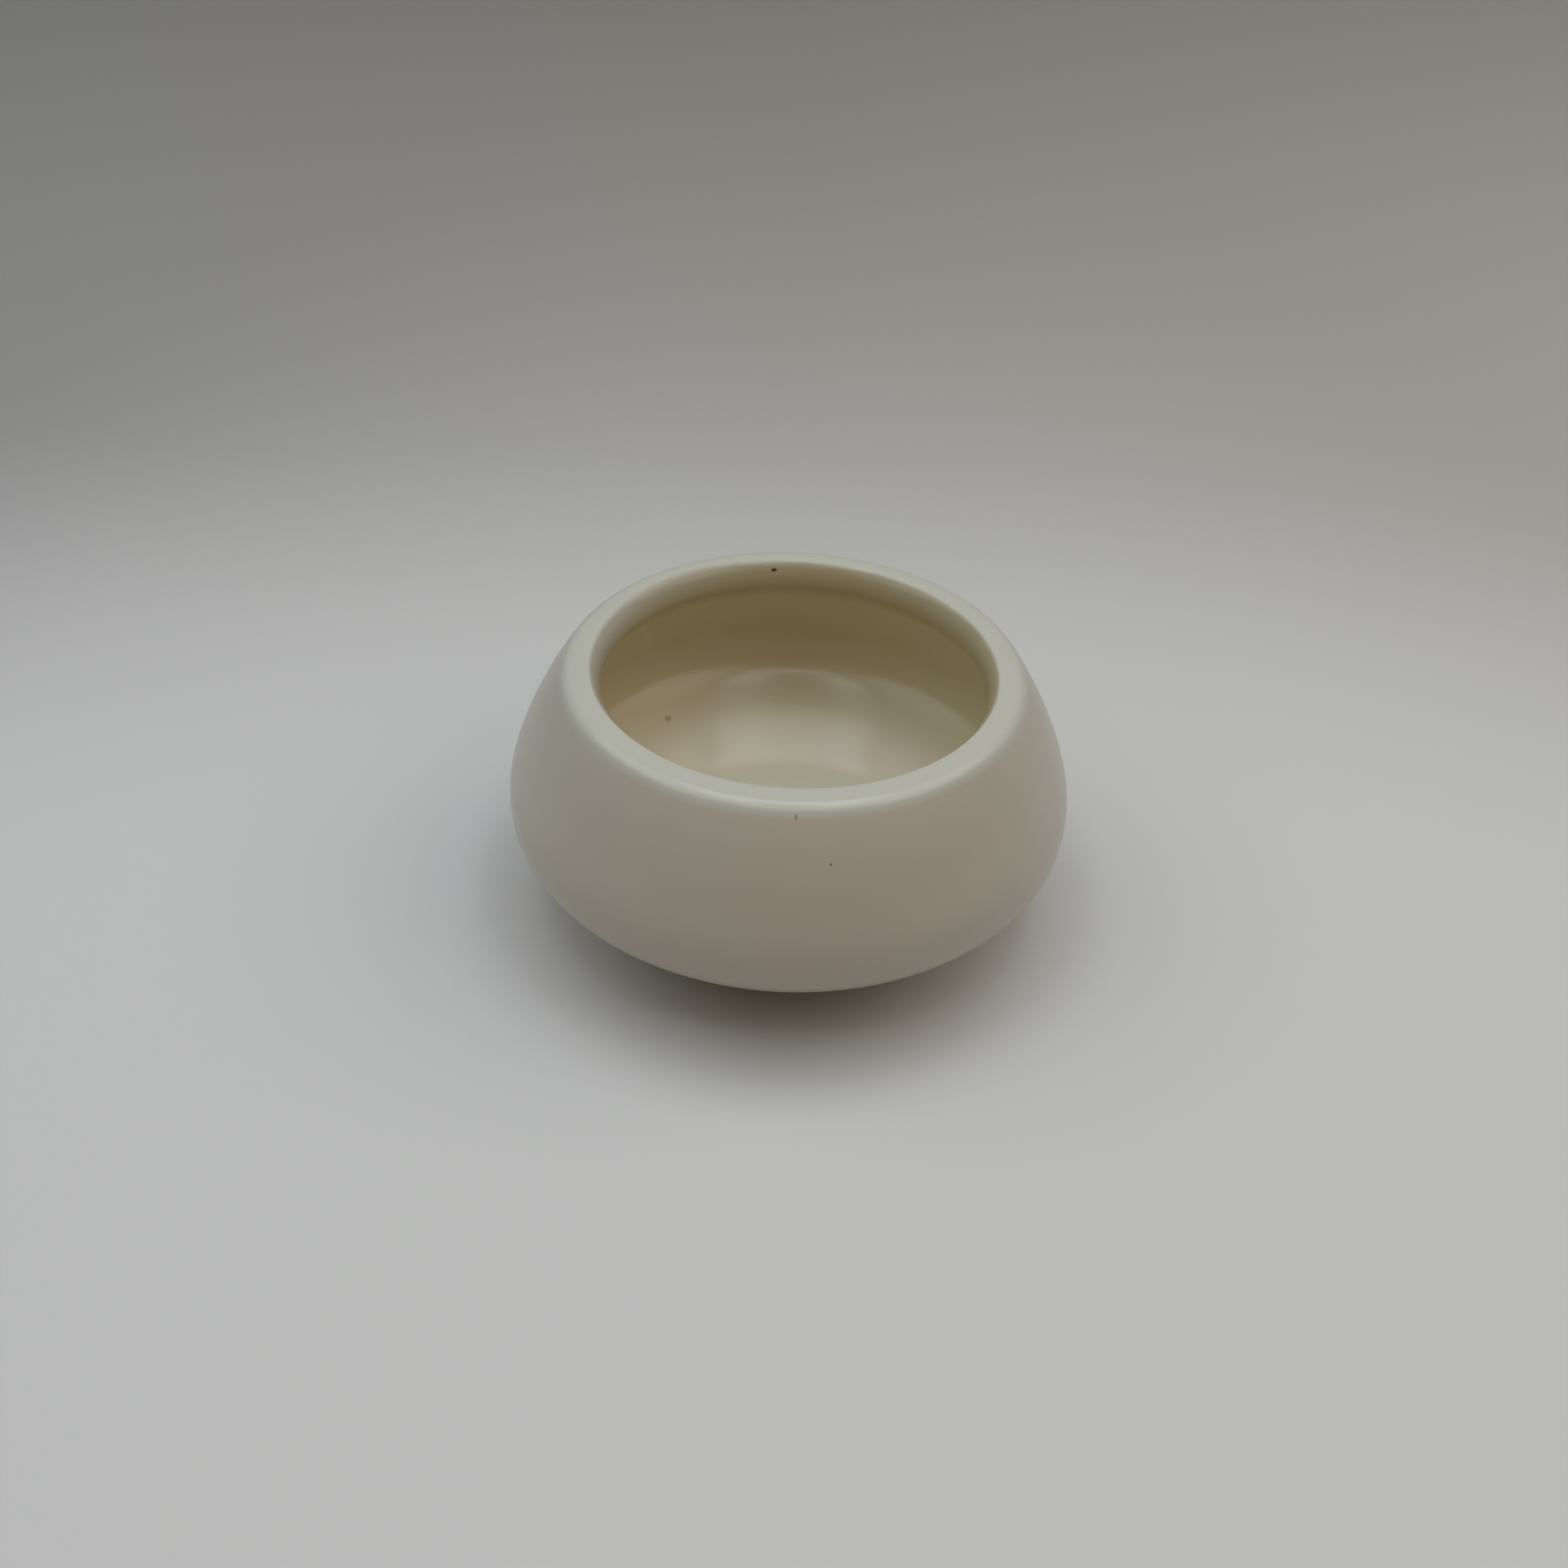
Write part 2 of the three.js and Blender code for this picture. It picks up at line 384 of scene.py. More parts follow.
class Bench:
    """The node tree of one material, read from the piece's own coordinates."""

    def __init__(self, name: str) -> None:
        """Start an empty material.

        Args:
            name: The material's name.
        """
        self.material = bpy.data.materials.new(name)
        self.material.use_nodes = True
        self.tree = self.material.node_tree
        self.tree.nodes.clear()
        self.place = self.node("ShaderNodeTexCoord", {}, {}).outputs["Object"]
        split = self.node("ShaderNodeSeparateXYZ", {}, {"Vector": self.place})
        self.x, self.y, self.z = (Shade(self, socket) for socket in split.outputs)

    def node(
        self, kind: str, settings: Mapping[str, Any], sockets: Mapping[str | int, Any]
    ) -> bpy.types.Node:
        """Add a node.

        Args:
            kind: The node's type.
            settings: Its properties, which are set first.
            sockets: The values or links of its inputs, by name or by number.

        Returns:
            The new node.
        """
        made = self.tree.nodes.new(kind)
        for name, value in settings.items():
            setattr(made, name, value)
        for key, value in sockets.items():
            named = [socket for socket in made.inputs if socket.enabled and socket.name == key]
            socket = named[0] if named else made.inputs[key]
            source = value.socket if isinstance(value, Shade) else value
            if isinstance(source, bpy.types.NodeSocket):
                self.tree.links.new(source, socket)
            else:
                socket.default_value = (*value, 1.0) if socket.type == "RGBA" else value
        return made

    @property
    def radius(self) -> Shade:
        """The distance from the bowl's axis."""
        return (self.x * self.x + self.y * self.y) ** 0.5

    def rightward(self, reach: float) -> Shade:
        """A value that grows from 0 to 1 between a reach to the left of the axis and one to the right."""
        return (self.x / (2 * reach) + 0.5).clamped()

    def noise(self, size: float, layers: Layers = Layers.SOFT) -> Shade:
        """Cloudy noise from 0 to 1.

        Args:
            size: How wide one cloud is, in metres.
            layers: How many finer layers it has.

        Returns:
            The noise.
        """
        sockets = {"Vector": self.place, "Scale": 1 / size, "Detail": layers.value}
        return Shade(self, self.node("ShaderNodeTexNoise", {}, sockets).outputs[0])

    def flecks(self, spacing: float, size: float) -> Shade:
        """Scattered round flecks.

        Args:
            spacing: How far apart they lie, in metres.
            size: How far the largest reach from their middles, in metres.

        Returns:
            A mask that is 1 in the middle of the flecks and fades to 0 at their edges.
        """
        cells = self.node("ShaderNodeTexVoronoi", {}, {"Vector": self.place, "Scale": 1 / spacing})
        distance = Shade(self, cells.outputs["Distance"]) * spacing
        fade = size / 2
        return ((size - distance) / fade).clamped()

    def rings(self, spacing: float, waver: float) -> Shade:
        """Fine rings round the axis, as a turning tool leaves them.

        Args:
            spacing: How far apart they lie, in metres.
            waver: How much they stray from true rings.

        Returns:
            A value that swings from 0 to 1 across each ring.
        """
        settings = {"wave_type": "RINGS", "rings_direction": "Z"}
        scale = WAVE_PERIOD / spacing
        sockets = {"Vector": self.place, "Scale": scale, "Distortion": waver, "Detail": Layers.SOFT.value}
        return Shade(self, self.node("ShaderNodeTexWave", settings, sockets).outputs[1])

    def mix(self, mask: Shade | float, under: Paint, over: Paint) -> bpy.types.NodeSocket:
        """Lay one colour over another.

        Args:
            mask: How much of the upper colour shows.
            under: The lower colour.
            over: The upper colour.

        Returns:
            The socket of the mixed colour.
        """
        sockets = {"Factor": mask, "A": under, "B": over}
        mixed = self.node("ShaderNodeMix", {"data_type": "RGBA"}, sockets)
        return next(socket for socket in mixed.outputs if socket.enabled)

    def surface(
        self, colour: Paint, roughness: Shade, relief: Shade, depth: float, fixed: Mapping[str, float]
    ) -> bpy.types.Material:
        """Finish the material.

        Args:
            colour: The surface's colour.
            roughness: Its roughness.
            relief: Its fine height, from 0 to 1.
            depth: How deep that relief is, in metres.
            fixed: The shader's values that are the same all over.

        Returns:
            The material.
        """
        bump = self.node("ShaderNodeBump", {}, {"Height": relief, "Distance": depth})
        inputs = {"Base Color": colour, "Roughness": roughness, "Normal": bump.outputs[0], **fixed}
        shader = self.node("ShaderNodeBsdfPrincipled", {}, inputs)
        self.node("ShaderNodeOutputMaterial", {}, {"Surface": shader.outputs[0]})
        return self.material


@dataclass(frozen=True)
class Mark:
    """A small flaw in a glaze: where it lies, how far it reaches, its colour and how rough it is."""

    angle: float
    radius: float
    height: float
    half_width: float
    half_height: float
    colour: Colour
    strength: float = 1.0
    roughening: float = 0.0
    depth: ClassVar[float] = 4 * MM
    sharpness: ClassVar[float] = 1.8

    @property
    def outward(self) -> Vector:
        """The level direction from the axis to the flaw."""
        return Vector((math.cos(self.angle), math.sin(self.angle), 0))

    @property
    def place(self) -> Vector:
        """The middle of the flaw."""
        return self.outward * self.radius + UP * self.height

    def mask(self, bench: Bench) -> Shade:
        """Mask the flaw in a material.

        Args:
            bench: The material's bench.

        Returns:
            A mask that is the flaw's strength inside it and fades to 0 at its edge.
        """
        way = self.outward
        across = (bench.y * way.x - bench.x * way.y) / self.half_width
        rise = (bench.z - self.height) / self.half_height
        inward = (bench.x * way.x + bench.y * way.y - self.radius) / self.depth
        apart = across * across + rise * rise + inward * inward
        return ((1 - apart) * self.sharpness).clamped() * self.strength


# The pinhole's near-black colour is painted shade in the pit, spread over the rim round it, whose lower
# wall would otherwise catch light.
PINHOLE = Mark(
    angle=math.radians(97.8),
    radius=41.28 * MM,
    height=59.93 * MM,
    half_width=0.72 * MM,
    half_height=0.4 * MM,
    colour=(0.03, 0.02, 0.008),
    roughening=0.5,
)
IRON_SPECK = Mark(
    angle=math.radians(-80.7),
    radius=53.6 * MM,
    height=51.4 * MM,
    half_width=0.21 * MM,
    half_height=0.21 * MM,
    colour=(0.006, 0.005, 0.004),
)
FAINT_SPECK = Mark(
    angle=math.radians(-20.7),
    radius=49.0 * MM,
    height=59.4 * MM,
    half_width=0.32 * MM,
    half_height=0.25 * MM,
    colour=(0.2, 0.19, 0.16),
    strength=0.6,
)
SCRATCH = Mark(
    angle=math.radians(-88.1),
    radius=49.0 * MM,
    height=59.3 * MM,
    half_width=0.2 * MM,
    half_height=0.65 * MM,
    colour=(0.15, 0.13, 0.1),
    strength=0.7,
)
LINER_FLECK = Mark(
    angle=math.radians(128.7),
    radius=46.3 * MM,
    height=21.3 * MM,
    half_width=0.95 * MM,
    half_height=0.45 * MM,
    colour=(0.25, 0.2, 0.13),
    strength=0.6,
    roughening=0.2,
)

# The painted shade of both glazes at the throat under the lip, where they meet: a darker brown.
THROAT_SHADE: Colour = (0.47, 0.37, 0.2)


@dataclass(frozen=True)
class Finish(ABC):
    """How the surface of a piece looks."""

    name: ClassVar[str]

    @abstractmethod
    def material(self) -> bpy.types.Material:
        """Make the finish's material."""


@dataclass(frozen=True)
class BareClay(Finish):
    """Bare fired clay: matt and buff, with grog, turning rings and a scuffed standing face."""

    name: ClassVar[str] = "bare_clay_finish"
    colour: Colour = (0.62, 0.54, 0.42)
    pale: Colour = (0.68, 0.61, 0.5)
    pale_size: float = 9 * MM
    grog: Colour = (0.36, 0.28, 0.2)
    grog_spacing: float = 2.2 * MM
    grog_size: float = 0.45 * MM
    grog_strength: float = 0.7
    grog_relief: float = 0.5
    scuffed: Colour = (0.4, 0.37, 0.33)
    scuff_height: float = 0.35 * MM
    scuff_size: float = 3 * MM
    grain_size: float = 0.5 * MM
    grain_relief: float = 0.7
    grain_roughness: float = 0.12
    ring_spacing: float = 0.733 * MM
    ring_waver: float = 1.5
    ring_relief: float = 0.3
    relief_depth: float = 0.06 * MM
    roughness: float = 0.9
    specular: float = 0.3

    def material(self) -> bpy.types.Material:
        """Make the finish's material.

        Returns:
            The material.
        """
        bench = Bench(self.name)
        grain = bench.noise(self.grain_size, Layers.FINE)
        grog = bench.flecks(self.grog_spacing, self.grog_size)
        standing = ((self.scuff_height - bench.z) / self.scuff_height).clamped()
        scuff = standing * bench.noise(self.scuff_size, Layers.PATCHY)
        colour = bench.mix(bench.noise(self.pale_size), self.colour, self.pale)
        colour = bench.mix(grog * self.grog_strength, colour, self.grog)
        colour = bench.mix(scuff, colour, self.scuffed)
        rings = bench.rings(self.ring_spacing, self.ring_waver)
        relief = grain * self.grain_relief + rings * self.ring_relief - grog * self.grog_relief
        roughness = self.roughness - grain * self.grain_roughness
        fixed = {"Specular IOR Level": self.specular}
        return bench.surface(colour, roughness, relief, self.relief_depth, fixed)


@dataclass(frozen=True)
class Glaze(Finish):
    """A glaze with a faintly uneven skin and a few flaws."""

    form: BowlForm
    marks: ClassVar[tuple[Mark, ...]]
    drift_size: float
    peel_size: float
    peel_depth: float
    peel_roughness: float
    roughness: float
    ior: float

    def skinned(self, bench: Bench, colour: Paint, peel: Shade) -> bpy.types.Material:
        """Lay the flaws over the glaze and finish its material.

        Args:
            bench: The material's bench.
            colour: The colour of the sound glaze.
            peel: The fine unevenness of its skin, from 0 to 1.

        Returns:
            The material.
        """
        roughness = self.roughness + peel.spread(self.peel_roughness)
        for mark in self.marks:
            mask = mark.mask(bench)
            colour = bench.mix(mask, colour, mark.colour)
            roughness = roughness + mask * mark.roughening
        return bench.surface(colour, roughness, peel, self.peel_depth, {"IOR": self.ior})


@dataclass(frozen=True)
class IvorySatinGlaze(Glaze):
    """A satin ivory glaze with painted light and shade in its colour: paler on the lip, warmer down the
    side, darker and warm at the front, and darker on the lip's cheek, partly thin brownish glaze and
    partly painted shade.
    """

    name: ClassVar[str] = "ivory_satin_finish"
    marks: ClassVar[tuple[Mark, ...]] = (PINHOLE, IRON_SPECK, FAINT_SPECK, SCRATCH)
    drift_size: float = 24 * MM
    peel_size: float = 1.3 * MM
    peel_depth: float = 0.006 * MM
    peel_roughness: float = 0.1
    roughness: float = 0.25
    ior: float = 1.5
    # The lip and side colours are lit and shaded copies of one ivory. The paler lip colour is painted
    # light on the upward-facing lip. The darker, warmer side colour carries some painted warm light.
    lip: Colour = (0.565, 0.56, 0.485)
    lip_foot: float = 3.2 * MM
    lip_grade: float = 2.2 * MM
    side: Colour = (0.525, 0.5, 0.425)
    warm: Colour = (0.5, 0.462, 0.38)
    warm_drift: float = 0.6
    warm_peel: float = 0.25
    # Painted warm shade: a darker, warmer colour on the front of the side, standing in for the dim warm
    # light from that side.
    front: Colour = (0.475, 0.41, 0.33)
    front_shade_strength: float = 0.85
    # The lip's cheek colours are partly thin brownish glaze and partly painted shade under the inner edge;
    # the left one is paler as painted light from the right.
    thin_and_shaded_back: Colour = (0.3, 0.252, 0.145)
    thin_and_shaded_left: Colour = (0.455, 0.415, 0.34)
    thin_and_shaded_right: Colour = (0.41, 0.36, 0.215)
    cheek_shade_start: float = -0.13 * MM
    cheek_shade_grade: float = 0.75 * MM
    ragged_size: float = 3 * MM
    ragged_reach: float = 0.3 * MM
    soft_onset_reach: float = 1.2 * MM
    soft_onset_sharpness: float = 9.0
    above_grade: float = 1 * MM

    def thin_and_shaded_cheek(self, bench: Bench, under: Paint) -> bpy.types.NodeSocket:
        """Lay the darker colour of the lip's cheek over it, from the lip's inner edge to its throat:
        partly thin brownish glaze, partly painted shade.

        Args:
            bench: The material's bench.
            under: The colour of the whole glaze.

        Returns:
            The socket of the colour with the darker cheek, which starts more softly at the left of the
            back and is paler at the left as painted light from the right.
        """
        form = self.form
        left_back = (bench.y - bench.x) / (math.sqrt(2) * form.edge_radius)
        # At the left of the back the darker cheek starts further out on the lip and more gradually.
        soft_onset = left_back.clamped() ** self.soft_onset_sharpness * self.soft_onset_reach
        ragged = bench.noise(self.ragged_size).spread(self.ragged_reach)
        start = form.edge_radius + self.cheek_shade_start + soft_onset + ragged
        inward = ((start - bench.radius) / (self.cheek_shade_grade + soft_onset)).clamped()
        rise = ((bench.z - form.glaze_line) / (form.height - form.glaze_line)).clamped()
        # Painted shade: the back of the cheek darkens down towards the throat's colour, and the left of
        # the cheek is paler than the right as painted light from the right.
        back = bench.mix(rise, THROAT_SHADE, self.thin_and_shaded_back)
        backward = (bench.y / form.edge_radius).clamped()
        sides = bench.mix(bench.rightward(form.edge_radius), self.thin_and_shaded_left, self.thin_and_shaded_right)
        colour = bench.mix(backward * backward, sides, back)
        above = ((bench.z - form.widest_height) / self.above_grade).clamped()
        return bench.mix(inward * above, under, colour)

    def material(self) -> bpy.types.Material:
        """Make the finish's material.

        Returns:
            The material.
        """
        bench = Bench(self.name)
        drift = bench.noise(self.drift_size)
        peel = bench.noise(self.peel_size, Layers.FINE)
        colour = bench.mix(drift * self.warm_drift + peel * self.warm_peel, self.side, self.warm)
        # Painted warm shade, strongest on the side facing the front.
        front_shade_mask = (bench.y / -self.form.radius).clamped()
        colour = bench.mix(front_shade_mask * front_shade_mask * self.front_shade_strength, colour, self.front)
        # Painted light: the colour grades up to the paler lip colour over the top of the lip.
        lip = ((bench.z - self.form.height + self.lip_foot) / self.lip_grade).eased()
        colour = bench.mix(lip, colour, self.lip)
        return self.skinned(bench, self.thin_and_shaded_cheek(bench, colour), peel)


@dataclass(frozen=True)
class CreamGlossGlaze(Glaze):
    """A glossy cream glaze, browner at the throat with painted shade under the lip, that pools, paler, in
    the middle of the floor.
    """

    name: ClassVar[str] = "cream_gloss_finish"
    marks: ClassVar[tuple[Mark, ...]] = (LINER_FLECK,)
    drift_size: float = 20 * MM
    peel_size: float = 1.8 * MM
    peel_depth: float = 0.004 * MM
    peel_roughness: float = 0.06
    roughness: float = 0.2
    ior: float = 1.44
    left: Colour = (0.64, 0.545, 0.36)
    right: Colour = (0.665, 0.6, 0.405)
    throat_shade_depth: float = 6 * MM
    slope: Colour = (0.655, 0.592, 0.46)
    slope_foot: float = 15 * MM
    slope_top: float = 27 * MM
    slope_waver: float = 0.6
    pool: Colour = (0.62, 0.6, 0.475)
    pool_radius: float = 32 * MM
    pool_edge: float = 2.5 * MM
    pool_waver: float = 3 * MM

    def material(self) -> bpy.types.Material:
        """Make the finish's material.

        Returns:
            The material.
        """
        bench = Bench(self.name)
        drift = bench.noise(self.drift_size)
        peel = bench.noise(self.peel_size, Layers.FINE)
        wall = bench.mix(bench.rightward(self.form.inner_radius), self.left, self.right)
        climb = (bench.z - self.slope_foot) / (self.slope_top - self.slope_foot)
        colour = bench.mix((climb + drift.spread(self.slope_waver)).clamped(), self.slope, wall)
        # Painted shade under the lip: the top of the liner darkens to the throat's colour.
        throat = ((bench.z - self.form.glaze_line) / self.throat_shade_depth + 1).clamped()
        colour = bench.mix(throat, colour, THROAT_SHADE)
        shore = self.pool_radius + drift.spread(self.pool_waver)
        pool = ((shore - bench.radius) / self.pool_edge).clamped()
        return self.skinned(bench, bench.mix(pool, colour, self.pool), peel)


@dataclass(frozen=True)
class SoftPaper(Finish):
    """Pale matt paper with a fine tooth, with painted shade graded in behind the bowl, lighter and warmer
    at the right as painted light.
    """

    name: ClassVar[str] = "soft_paper"
    colour: Colour = (0.655, 0.655, 0.645)
    # Painted shade on the paper behind the bowl: darkest at the left, and lighter and warmer at the right
    # as painted light from that side.
    backdrop_shade_left: Colour = (0.345, 0.343, 0.337)
    backdrop_shade_middle: Colour = (0.385, 0.36, 0.33)
    backdrop_shade_right: Colour = (0.48, 0.455, 0.425)
    grade_start: float = 0.04
    grade_end: float = 0.34
    grade_bow: float = 1.4
    grade_half_width: float = 0.3
    tooth_size: float = 0.6 * MM
    tooth_depth: float = 0.01 * MM
    tooth_grade: float = 0.08
    tooth_roughness: float = 0.1
    roughness: float = 0.85
    specular: float = 0.2

    def material(self) -> bpy.types.Material:
        """Make the finish's material.

        Returns:
            The material.
        """
        bench = Bench(self.name)
        tooth = bench.noise(self.tooth_size, Layers.FINE)
        # Painted shade: the paper darkens towards the back, where it rises behind the bowl.
        back = bench.y + bench.x * bench.x * self.grade_bow
        grade = ((back - self.grade_start) / (self.grade_end - self.grade_start)).eased()
        across = bench.x / self.grade_half_width
        backdrop_shade = bench.mix((across + 1).clamped(), self.backdrop_shade_left, self.backdrop_shade_middle)
        backdrop_shade = bench.mix(across.clamped(), backdrop_shade, self.backdrop_shade_right)
        colour = bench.mix((grade + tooth.spread(self.tooth_grade)).clamped(), self.colour, backdrop_shade)
        roughness = self.roughness + tooth * self.tooth_roughness
        fixed = {"Specular IOR Level": self.specular}
        return bench.surface(colour, roughness, tooth, self.tooth_depth, fixed)


def dressed(name: str, shape: BMesh, finish: Finish) -> bpy.types.Object:
    """Make a smooth object of a modelled shape and give it its finish.

    Args:
        name: The object's name.
        shape: The modelled shape, which is used up.
        finish: How its surface looks.

    Returns:
        The object, which stands at the origin.
    """
    for face in shape.faces:
        face.smooth = True
    for edge in shape.edges:
        edge.smooth = edge.calc_face_angle(0) < CREASE_ANGLE
    mesh = bpy.data.meshes.new(name)
    shape.to_mesh(mesh)
    shape.free()
    mesh.materials.append(finish.material())
    made = bpy.data.objects.new(name, mesh)
    bpy.context.scene.collection.objects.link(made)
    return made


@dataclass
class TurnedPiece(ABC):
    """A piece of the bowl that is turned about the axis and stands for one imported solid."""

    form: BowlForm
    node: ClassVar[str]
    slot: ClassVar[Slot]

    @abstractmethod
    def model(self) -> BMesh:
        """Model the piece as a closed solid."""

    @abstractmethod
    def finish(self) -> Finish:
        """Choose the piece's finish."""

    def make(self) -> bpy.types.Object:
        """Model, dress and seat the piece.

        Returns:
            The finished piece, riding on the bowl's one body.
        """
        piece = dressed(self.node + "_turned", self.model(), self.finish())
        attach(piece, "root")
        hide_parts(self.node)
        return piece


@dataclass
class ClayBody(TurnedPiece):
    """The fired clay shell, with shallow turning rings on its bare base."""

    node: ClassVar[str] = "clay_body"
    slot: ClassVar[Slot] = Slot.BARE_CLAY
    ring_count: int = 7
    ring_depth: float = 0.12 * MM
    first_ring: float = 1.2 * MM
    last_ring: float = 23.2 * MM
    ring_steps: int = 6

    def model(self) -> BMesh:
        """Model the shell.

        Returns:
            The closed shell.
        """
        outer = self.form.outside()
        inner = self.form.inside()
        clay_outside = outer.sunk(self.form.outer_coat)
        clay_inside = inner.sunk(self.form.liner_coat)
        outer.mesh.free()
        inner.mesh.free()
        outline = Outline(spot(0, self.form.base_height))
        outline.line(spot(self.first_ring, self.form.base_height))
        half_width = (self.last_ring - self.first_ring) / self.ring_count / 2
        round_radius = (half_width**2 + self.ring_depth**2) / (2 * self.ring_depth)
        to_centre = spot(half_width, self.ring_depth - round_radius)
        half_angle = math.asin(half_width / round_radius)
        for _ in range(self.ring_count):
            outline.arc(outline.end.co + to_centre, -2 * half_angle, self.ring_steps)
        outline.line(spot(clay_outside[0].x, self.form.base_height))
        outline.follow([*clay_outside, *clay_inside])
        return outline.turned()

    def finish(self) -> Finish:
        """Choose the piece's finish."""
        return BareClay()


@dataclass
class FootRing(TurnedPiece):
    """The ring that the bowl stands on, luted to the base with a small cove on each side."""

    node: ClassVar[str] = "foot_ring"
    slot: ClassVar[Slot] = Slot.BARE_CLAY
    wall: float = 5 * MM
    rounding: float = 1 * MM
    cove: float = 0.9 * MM
    steps: int = 8

    def model(self) -> BMesh:
        """Model the ring.

        Returns:
            The closed ring.
        """
        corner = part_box(self.node)[1]
        outer, top = corner.x, corner.z
        inner = outer - self.wall
        under_cove = top - self.cove
        outline = Outline(spot(inner - self.cove, top))
        outline.arc(spot(inner - self.cove, under_cove), -QUARTER, self.steps)
        outline.line(spot(inner, self.rounding), self.steps)
        outline.arc(spot(inner + self.rounding, self.rounding), QUARTER, self.steps)
        outline.line(spot(outer - self.rounding, 0), self.steps)
        outline.arc(spot(outer - self.rounding, self.rounding), QUARTER, self.steps)
        outline.line(spot(outer, under_cove), self.steps)
        outline.arc(spot(outer + self.cove, under_cove), -QUARTER, self.steps)
        outline.close()
        return outline.turned()

    def finish(self) -> Finish:
        """Choose the piece's finish."""
        return BareClay()


@dataclass
class OuterGlaze(TurnedPiece):
    """The satin coat on the outside and over the lip, with a rolled lower edge and one pinhole."""

    node: ClassVar[str] = "outer_glaze"
    slot: ClassVar[Slot] = Slot.IVORY_SATIN
    roll: float = 0.22 * MM
    roll_segments: int = 4
    dimple_reach: float = 0.85 * MM
    dimple_depth: float = 0.05 * MM
    hole_depth: float = 0.3 * MM
    hole_cuts: int = 8

    def model(self) -> BMesh:
        """Model the coat.

        Returns:
            The closed coat.
        """
        outline = self.form.outside()
        under_coat = outline.sunk(self.form.outer_coat)
        outline.follow(reversed(under_coat))
        outline.close()
        solid = outline.turned()
        self.roll_edge(solid)
        self.sink_pinhole(solid)
        return solid

    def roll_edge(self, solid: BMesh) -> None:
        """Round the coat's lower edge, where it stops at the base.

        Args:
            solid: The coat, which is changed.
        """
        low = self.form.base_height + MERGE_DISTANCE
        rim = [edge for edge in solid.edges if all(vert.co.z < low for vert in edge.verts)]
        bmesh.ops.bevel(
            solid,
            geom=rim,
            offset=self.roll,
            affect="EDGES",
            segments=self.roll_segments,
            profile=0.5,
            material=-1,
        )

    def sink_pinhole(self, solid: BMesh) -> None:
        """Sink the pinhole and the faint dimple round it into the lip's cheek.

        Args:
            solid: The coat, which is changed.
        """
        place = PINHOLE.place
        out = -PINHOLE.outward

        def near(co: Vector, normal: Vector) -> bool:
            """Whether a point of the outer skin lies in the dimple."""
            return (co - place).length < self.dimple_reach and normal.dot(out) > 0

        faces = [face for face in solid.faces if near(face.calc_center_median(), face.normal)]
        edges = list({edge for face in faces for edge in face.edges})
        bmesh.ops.subdivide_edges(solid, edges=edges, cuts=self.hole_cuts, use_grid_fill=True)
        solid.normal_update()
        for vert in [vert for vert in solid.verts if near(vert.co, vert.normal)]:
            apart = (vert.co - place).length
            dimple = (1 - (apart / self.dimple_reach) ** 2) ** 2 * self.dimple_depth
            hole = max(1 - (apart / PINHOLE.half_height) ** 2, 0) ** 2 * self.hole_depth
            vert.co -= out * (dimple + hole)

    def finish(self) -> Finish:
        """Choose the piece's finish."""
        return IvorySatinGlaze(self.form)


@dataclass
class LinerGlaze(TurnedPiece):
    """The glossy coat inside, from the glaze line at the throat to the middle of the floor."""

    node: ClassVar[str] = "liner_glaze"
    slot: ClassVar[Slot] = Slot.CREAM_GLOSS

    def model(self) -> BMesh:
        """Model the coat.

        Returns:
            The closed coat.
        """
        finished = self.form.inside()
        under_coat = finished.sunk(self.form.liner_coat)
        outline = Outline(under_coat[-1])
        outline.follow(reversed(under_coat[:-1]))
        outline.follow(finished.points)
        finished.mesh.free()
        return outline.turned()

    def finish(self) -> Finish:
        """Choose the piece's finish."""
        return CreamGlossGlaze(self.form)


@dataclass
class PaperSweep:
    """A sheet of pale paper that lies under the bowl and curves up behind it."""

    half_width: float = 1.6
    front: float = -1.4
    bend_start: float = 0.2
    bend_radius: float = 0.13
    bend_angle: float = math.radians(88)
    bend_steps: int = 40
    rise: float = 0.35

    def make(self) -> bpy.types.Object:
        """Model and dress the sheet.

        Returns:
            The sheet, which is part of the stage.
        """
        sheet = bmesh.new()
        first = sheet.verts.new((-self.half_width, self.front, 0))
        start = sheet.verts.new((-self.half_width, self.bend_start, 0))
        sheet.edges.new((first, start))
        centre = (-self.half_width, self.bend_start, self.bend_radius)
        last = spun_end(bmesh.ops.spin(
            sheet, geom=[start], cent=centre, axis=(1, 0, 0), angle=self.bend_angle, steps=self.bend_steps
        ))
        way = Vector((0, math.cos(self.bend_angle), math.sin(self.bend_angle)))
        sheet.edges.new((last, sheet.verts.new(last.co + way * self.rise)))
        pulled = bmesh.ops.extrude_edge_only(sheet, edges=sheet.edges[:])
        far = [part for part in pulled["geom"] if isinstance(part, BMVert)]
        bmesh.ops.translate(sheet, verts=far, vec=(2 * self.half_width, 0, 0))
        bmesh.ops.recalc_face_normals(sheet, faces=sheet.faces[:])
        paper = dressed("paper_sweep", sheet, SoftPaper())
        return paper


@dataclass
class SoftPanel:
    """A flat soft lamp that hangs level over the bowl."""

    name: str
    place: Vector
    width: float
    length: float
    radiance: float
    colour: Colour

    def make(self) -> bpy.types.Object:
        """Hang the lamp.

        Returns:
            The lamp.
        """
        lamp = bpy.data.lights.new(self.name, "AREA")
        lamp.shape = "RECTANGLE"
        lamp.size = self.width
        lamp.size_y = self.length
        lamp.energy = self.radiance * math.pi * self.width * self.length
        lamp.color = self.colour
        panel = bpy.data.objects.new(self.name, lamp)
        panel.location = self.place
        bpy.context.scene.collection.objects.link(panel)
        return panel


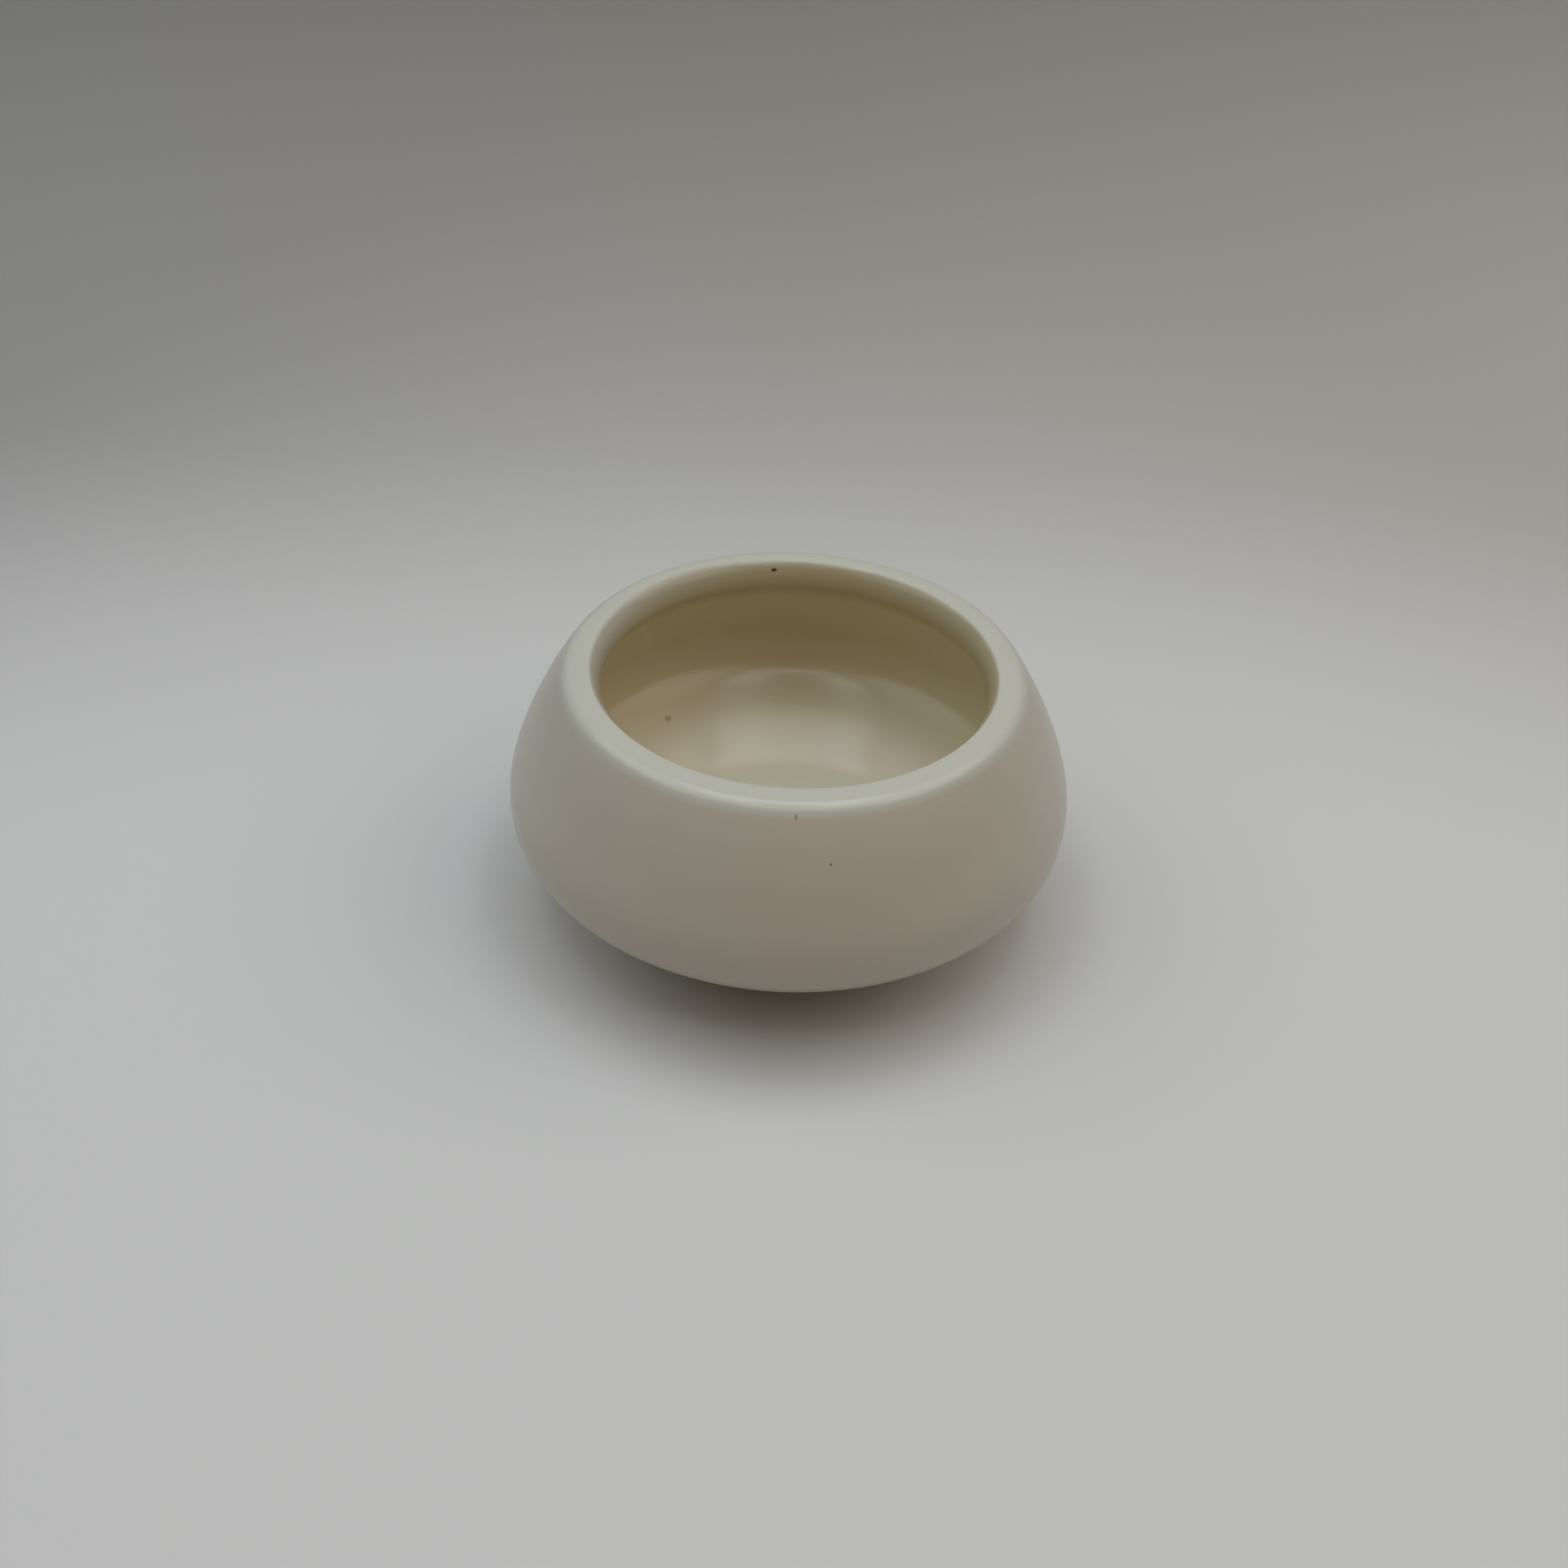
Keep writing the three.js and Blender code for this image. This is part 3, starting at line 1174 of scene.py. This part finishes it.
@dataclass
class Studio:
    """The plain light and the camera that the bowl is looked at with."""

    fill_colour: Colour = (1.0, 0.84, 0.7)
    fill_strength: float = 0.05
    eye: Vector = field(default_factory=lambda: Vector((0, -355.0, 294.3)) * MM)
    pitch: float = math.radians(36.602)
    yaw: float = math.radians(-0.172)
    roll: float = math.radians(2.607)
    focal_length: float = 46.73
    sensor_width: float = 36.0

    # Each lamp's name, place, width, length, radiance and colour.
    panels: list[SoftPanel] = field(default_factory=lambda: [
        SoftPanel("left_panel", Vector((-0.95, -0.1, 1.0)), 1.0, 1.4, 1.22, (0.92, 0.97, 1.0)),
        SoftPanel("right_panel", Vector((0.95, -0.1, 1.0)), 1.0, 1.4, 1.38, (1.0, 0.95, 0.87)),
        SoftPanel("left_strip", Vector((-0.27, -0.08, 1.03)), 0.22, 0.75, 3.1, (0.85, 0.93, 1.0)),
        SoftPanel("right_strip", Vector((0.25, -0.08, 1.03)), 0.22, 0.75, 3.2, (0.85, 0.93, 1.0)),
        SoftPanel("middle_panel", Vector((0, 0.09, 1.06)), 0.3, 0.42, 2.7, (0.88, 0.94, 1.0)),
        SoftPanel("cross_strip", Vector((0, -0.62, 1.08)), 0.7, 0.2, 2.4, (0.9, 0.95, 1.0)),
        SoftPanel("front_panel", Vector((0, -1.15, 1.1)), 2.9, 0.6, 0.36, (1.0, 0.66, 0.33)),
    ])

    def light(self) -> None:
        """Hang the lamps and set the even fill."""
        for panel in self.panels:
            panel.make()
        world = bpy.data.worlds.new("even_fill")
        world.use_nodes = True
        background = world.node_tree.nodes["Background"]
        background.inputs["Color"].default_value = (*self.fill_colour, 1.0)
        background.inputs["Strength"].default_value = self.fill_strength
        bpy.context.scene.world = world
        bpy.context.scene.view_settings.view_transform = "Standard"

    def set_camera(self) -> bpy.types.Object:
        """Put the camera where it looks down on the bowl.

        Returns:
            The camera.
        """
        lens = bpy.data.cameras.new("camera")
        lens.lens = self.focal_length
        lens.sensor_width = self.sensor_width
        camera = bpy.data.objects.new("camera", lens)
        turn = Matrix.Rotation(-self.yaw, 4, "Z") @ Matrix.Rotation(QUARTER - self.pitch, 4, "X")
        camera.matrix_world = Matrix.Translation(self.eye) @ turn @ Matrix.Rotation(self.roll, 4, "Z")
        bpy.context.scene.collection.objects.link(camera)
        bpy.context.scene.camera = camera
        return camera


def main() -> None:
    """Build the camera, the bowl's pieces, the paper and the light, in that order."""
    logging.basicConfig(level=logging.INFO, format="%(message)s")
    studio = Studio()
    studio.set_camera()
    form = BowlForm.from_frame()
    for piece in (ClayBody(form), FootRing(form), OuterGlaze(form), LinerGlaze(form)):
        made = piece.make()
        LOG.info("%s: %d faces, finish %s", made.name, len(made.data.polygons), piece.slot.value)
    PaperSweep().make()
    studio.light()


if __name__ == "__main__":
    main()
